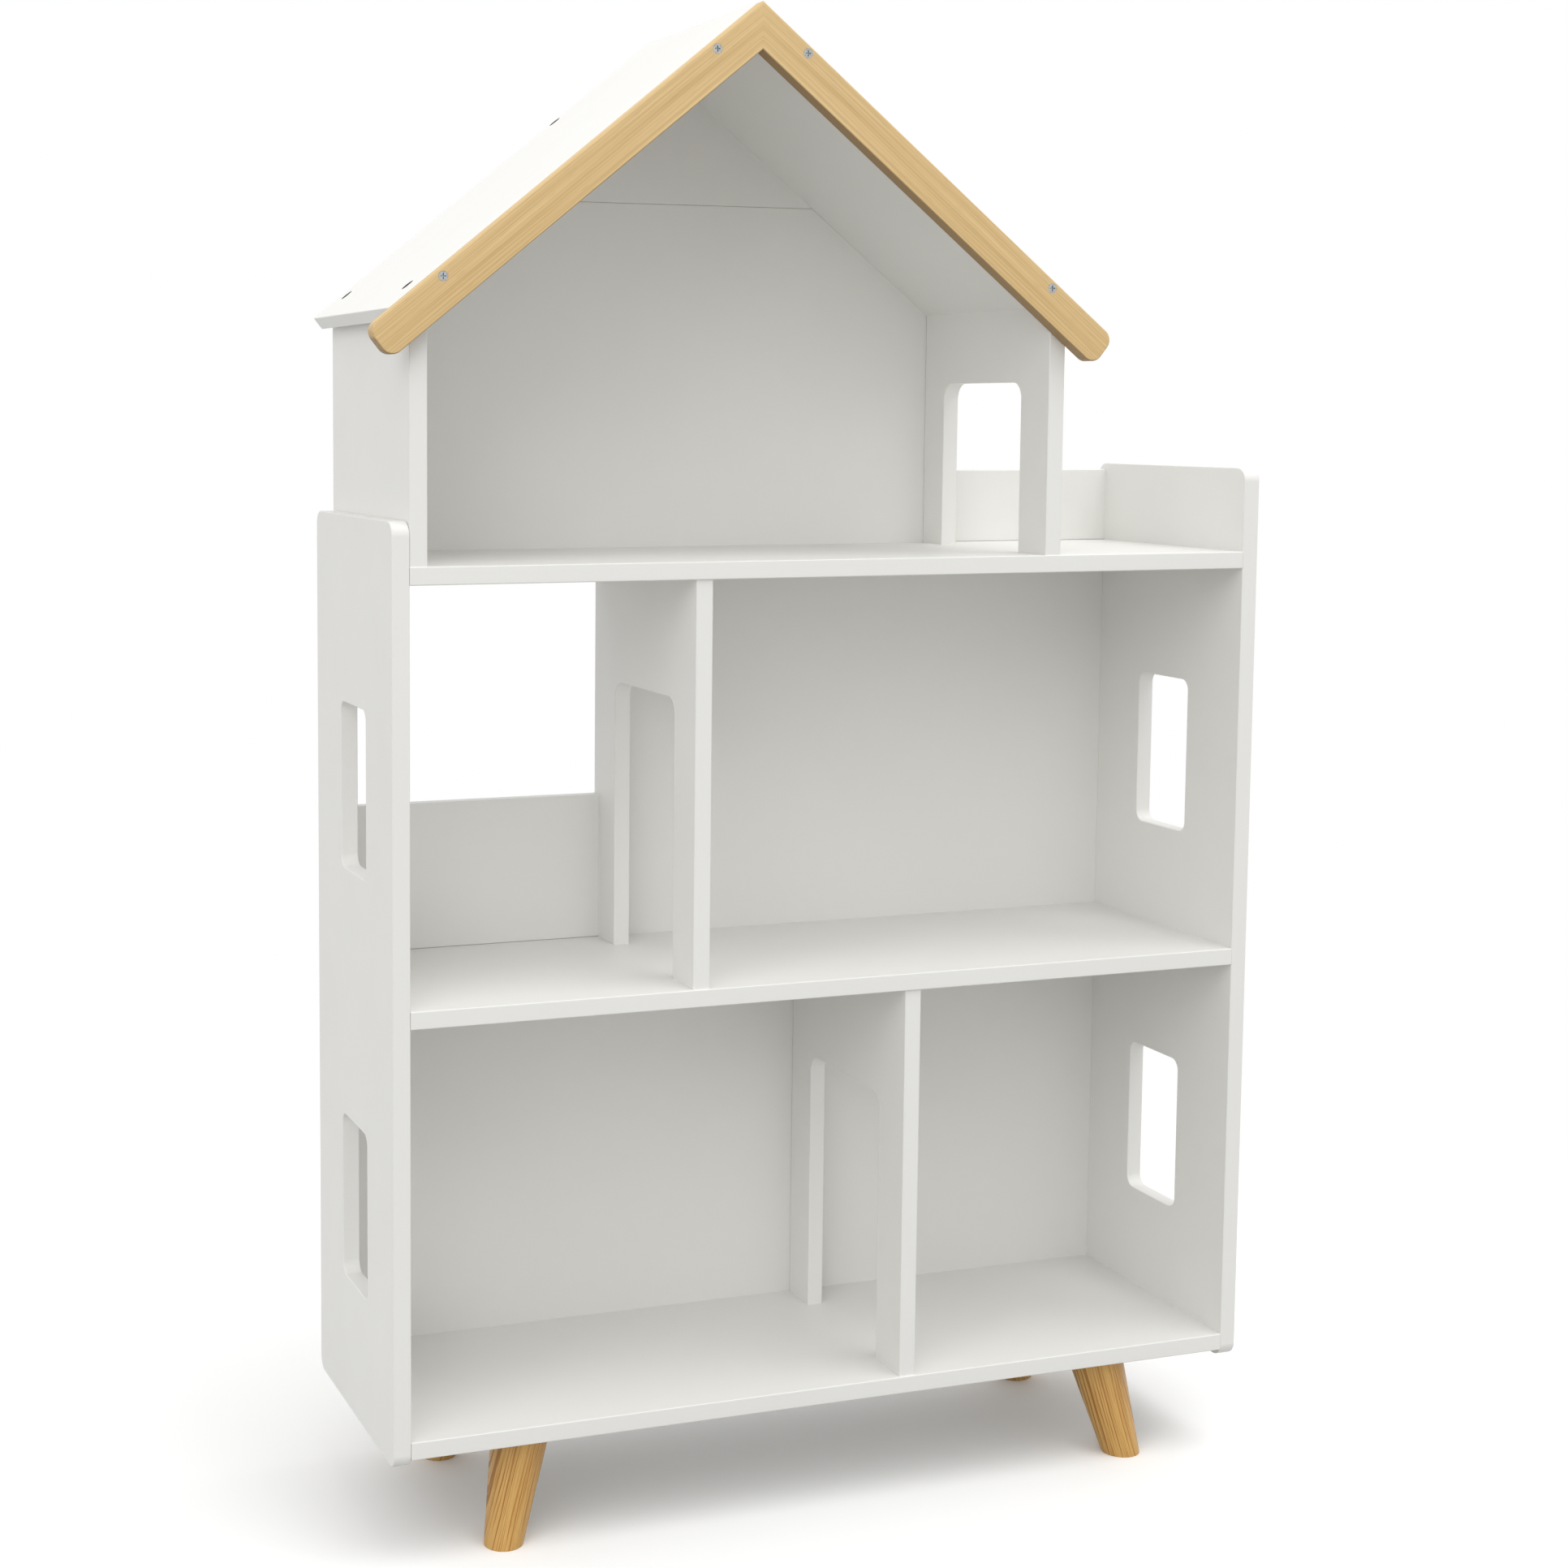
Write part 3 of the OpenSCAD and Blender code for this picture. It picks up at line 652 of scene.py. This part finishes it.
def ease_edges(name, width, rim=BORE_RIM, merge=SAME_PLACE, **spans):
    """Rounds a node's free edges a little, as a sander or router leaves them.

    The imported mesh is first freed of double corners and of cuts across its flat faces.
    """
    piece = nodes[name]
    weld = piece.modifiers.new("weld", "WELD")
    weld.merge_threshold = merge
    flat = piece.modifiers.new("flat_faces", "DECIMATE")
    flat.decimate_type = "DISSOLVE"
    flat.angle_limit = FLAT
    picked = piece.modifiers.new("picked_edges", "NODES")
    picked.node_group = edge_picker("edges_of_" + name, rim, spans)
    ease = piece.modifiers.new("eased_edges", "BEVEL")
    ease.width = width
    ease.segments = EASE_STEPS
    ease.limit_method = "WEIGHT"
    ease.use_clamp_overlap = False
    ease.loop_slide = False
    shaded = piece.modifiers.new("corner_shading", "NODES")
    shaded.node_group = CORNER_SHADING
    flattened = piece.modifiers.new("flat_shading", "WEIGHTED_NORMAL")
    flattened.keep_sharp = True
    return ease


def ease_all():
    """Eases boards, fascias and feet; the gable board and the body's backs stay as cut.

    The spans leave out the ends that butt against a neighbour and the mitre at the ridge.
    """
    for name in ("side_panel_left", "side_panel_right"):
        ease_edges(name, BOARD_EASE)
    for name in ("shelf_top", "shelf_middle", "shelf_bottom", "nook_back_rail",
                 "ledge_back_guard"):
        low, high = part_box(name)
        ease_edges(name, BOARD_EASE, X=(low.x + JOINT, high.x - JOINT))
    for name in ("divider_middle", "divider_lower"):
        low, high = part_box(name)
        ease_edges(name, BOARD_EASE, Z=(low.z + JOINT, high.z - JOINT))
    for name in ("house_wall_left", "house_wall_right"):
        low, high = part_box(name)
        ease_edges(name, BOARD_EASE, Z=(low.z + JOINT, high.z - SLOPE_CUT))
    low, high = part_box("house_back_lower")
    ease_edges("house_back_lower", BOARD_EASE, Z=(high.z - BACK_JOINT, high.z + BACK_JOINT))
    for side, width in (("roof_panel", ROOF_EASE), ("fascia", FASCIA_EASE)):
        low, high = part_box(side + "_left")
        ease_edges(side + "_left", width, X=(low.x - JOINT, high.x - JOINT))
        low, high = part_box(side + "_right")
        ease_edges(side + "_right", width, X=(low.x + JOINT, high.x + JOINT))
    for name in LEGS:
        foot = ease_edges(name, LEG_EASE, NO_BORE, CONE_SEAM, Z=(-JOINT, JOINT))
        foot.use_clamp_overlap = True


ease_all()

# ---- floor, light and backdrop ----

# The floor shows the object's shadow up to the first distance of SHADOW_ROOM from the
# middle and is plain white from the second on.
FLOOR_HALF = 15.0
FLOOR_ROUGH = 0.8
FLOOR_SEEN = (0.965, 0.965, 0.96)
FLOOR_BOUNCE = (0.42, 0.42, 0.41)
SHADOW_ROOM = (0.55, 1.60)
WHITE = (1.0, 1.0, 1.0, 1.0)
BACKDROP = 1.0
AMBIENT = 0.88
AIM = (0.0, 0.0, 0.7)
KEY_AT = (-4.6, -4.6, 4.6)
KEY_SIZE = 5.0
KEY_WATTS = 130.0
TOP_AT = (1.6, -1.8, 6.6)
TOP_SIZE = 4.5
TOP_WATTS = 175.0


def add_floor():
    """A pale floor that shows the soft shadow near the legs and fades to white.

    Only what the camera sees of it, straight or in a reflection, is that pale: the light that
    it throws back on the object is that of a greyer floor.
    """
    mesh = bpy.data.meshes.new("floor")
    corners = [(-FLOOR_HALF, -FLOOR_HALF, 0.0), (FLOOR_HALF, -FLOOR_HALF, 0.0),
               (FLOOR_HALF, FLOOR_HALF, 0.0), (-FLOOR_HALF, FLOOR_HALF, 0.0)]
    mesh.from_pydata(corners, [], [(0, 1, 2, 3)])
    floor = bpy.data.objects.new("floor", mesh)
    scene.collection.objects.link(floor)
    paint = Paint("floor")
    paint.set(Roughness=FLOOR_ROUGH)
    glow = paint.add("ShaderNodeEmission")
    rays = paint.add("ShaderNodeLightPath")
    away = paint.add("ShaderNodeVectorMath", operation="LENGTH")
    paint.join(paint.coords(), away.inputs[0])
    direct = paint.math("MAXIMUM", rays.outputs["Is Camera Ray"], rays.outputs["Is Glossy Ray"])
    seen = paint.math("MAXIMUM", direct, rays.outputs["Is Transmission Ray"])
    paint.colour(paint.mix(seen, FLOOR_BOUNCE, FLOOR_SEEN))
    far = paint.remap(away.outputs["Value"], *SHADOW_ROOM, 0.0, 1.0)
    blend = paint.add("ShaderNodeMixShader")
    paint.join(paint.math("MULTIPLY", far, seen), blend.inputs["Fac"])
    paint.join(paint.surface.outputs["BSDF"], blend.inputs[1])
    paint.join(glow.outputs["Emission"], blend.inputs[2])
    paint.join(blend.outputs["Shader"], paint.output.inputs["Surface"])
    mesh.materials.append(paint.material)


def add_world():
    """White backdrop for the camera and for reflections, soft ambient light for the rest."""
    world = bpy.data.worlds.new("studio")
    scene.world = world
    world.use_nodes = True
    tree = world.node_tree
    tree.nodes.clear()
    output = tree.nodes.new("ShaderNodeOutputWorld")
    rays = tree.nodes.new("ShaderNodeLightPath")
    seen = tree.nodes.new("ShaderNodeBackground")
    seen.inputs["Color"].default_value = WHITE
    seen.inputs["Strength"].default_value = BACKDROP
    lit = tree.nodes.new("ShaderNodeBackground")
    lit.inputs["Color"].default_value = WHITE
    lit.inputs["Strength"].default_value = AMBIENT
    first = tree.nodes.new("ShaderNodeMath")
    first.operation = "MAXIMUM"
    both = tree.nodes.new("ShaderNodeMath")
    both.operation = "MAXIMUM"
    blend = tree.nodes.new("ShaderNodeMixShader")
    tree.links.new(rays.outputs["Is Camera Ray"], first.inputs[0])
    tree.links.new(rays.outputs["Is Glossy Ray"], first.inputs[1])
    tree.links.new(first.outputs["Value"], both.inputs[0])
    tree.links.new(rays.outputs["Is Transmission Ray"], both.inputs[1])
    tree.links.new(both.outputs["Value"], blend.inputs["Fac"])
    tree.links.new(lit.outputs["Background"], blend.inputs[1])
    tree.links.new(seen.outputs["Background"], blend.inputs[2])
    tree.links.new(blend.outputs["Shader"], output.inputs["Surface"])


def add_softbox(name, place, size, watts):
    """A large square lamp at place, turned to the object."""
    data = bpy.data.lights.new(name, "AREA")
    data.shape = "SQUARE"
    data.size = size
    data.energy = watts
    lamp = bpy.data.objects.new(name, data)
    scene.collection.objects.link(lamp)
    lamp.location = place
    lamp.visible_camera = False
    lamp.rotation_mode = "QUATERNION"
    lamp.rotation_quaternion = (Vector(AIM) - Vector(place)).to_track_quat("-Z", "Y")


add_floor()
add_world()
add_softbox("key", KEY_AT, KEY_SIZE, KEY_WATTS)
add_softbox("top", TOP_AT, TOP_SIZE, TOP_WATTS)

scene.view_settings.view_transform = "Standard"
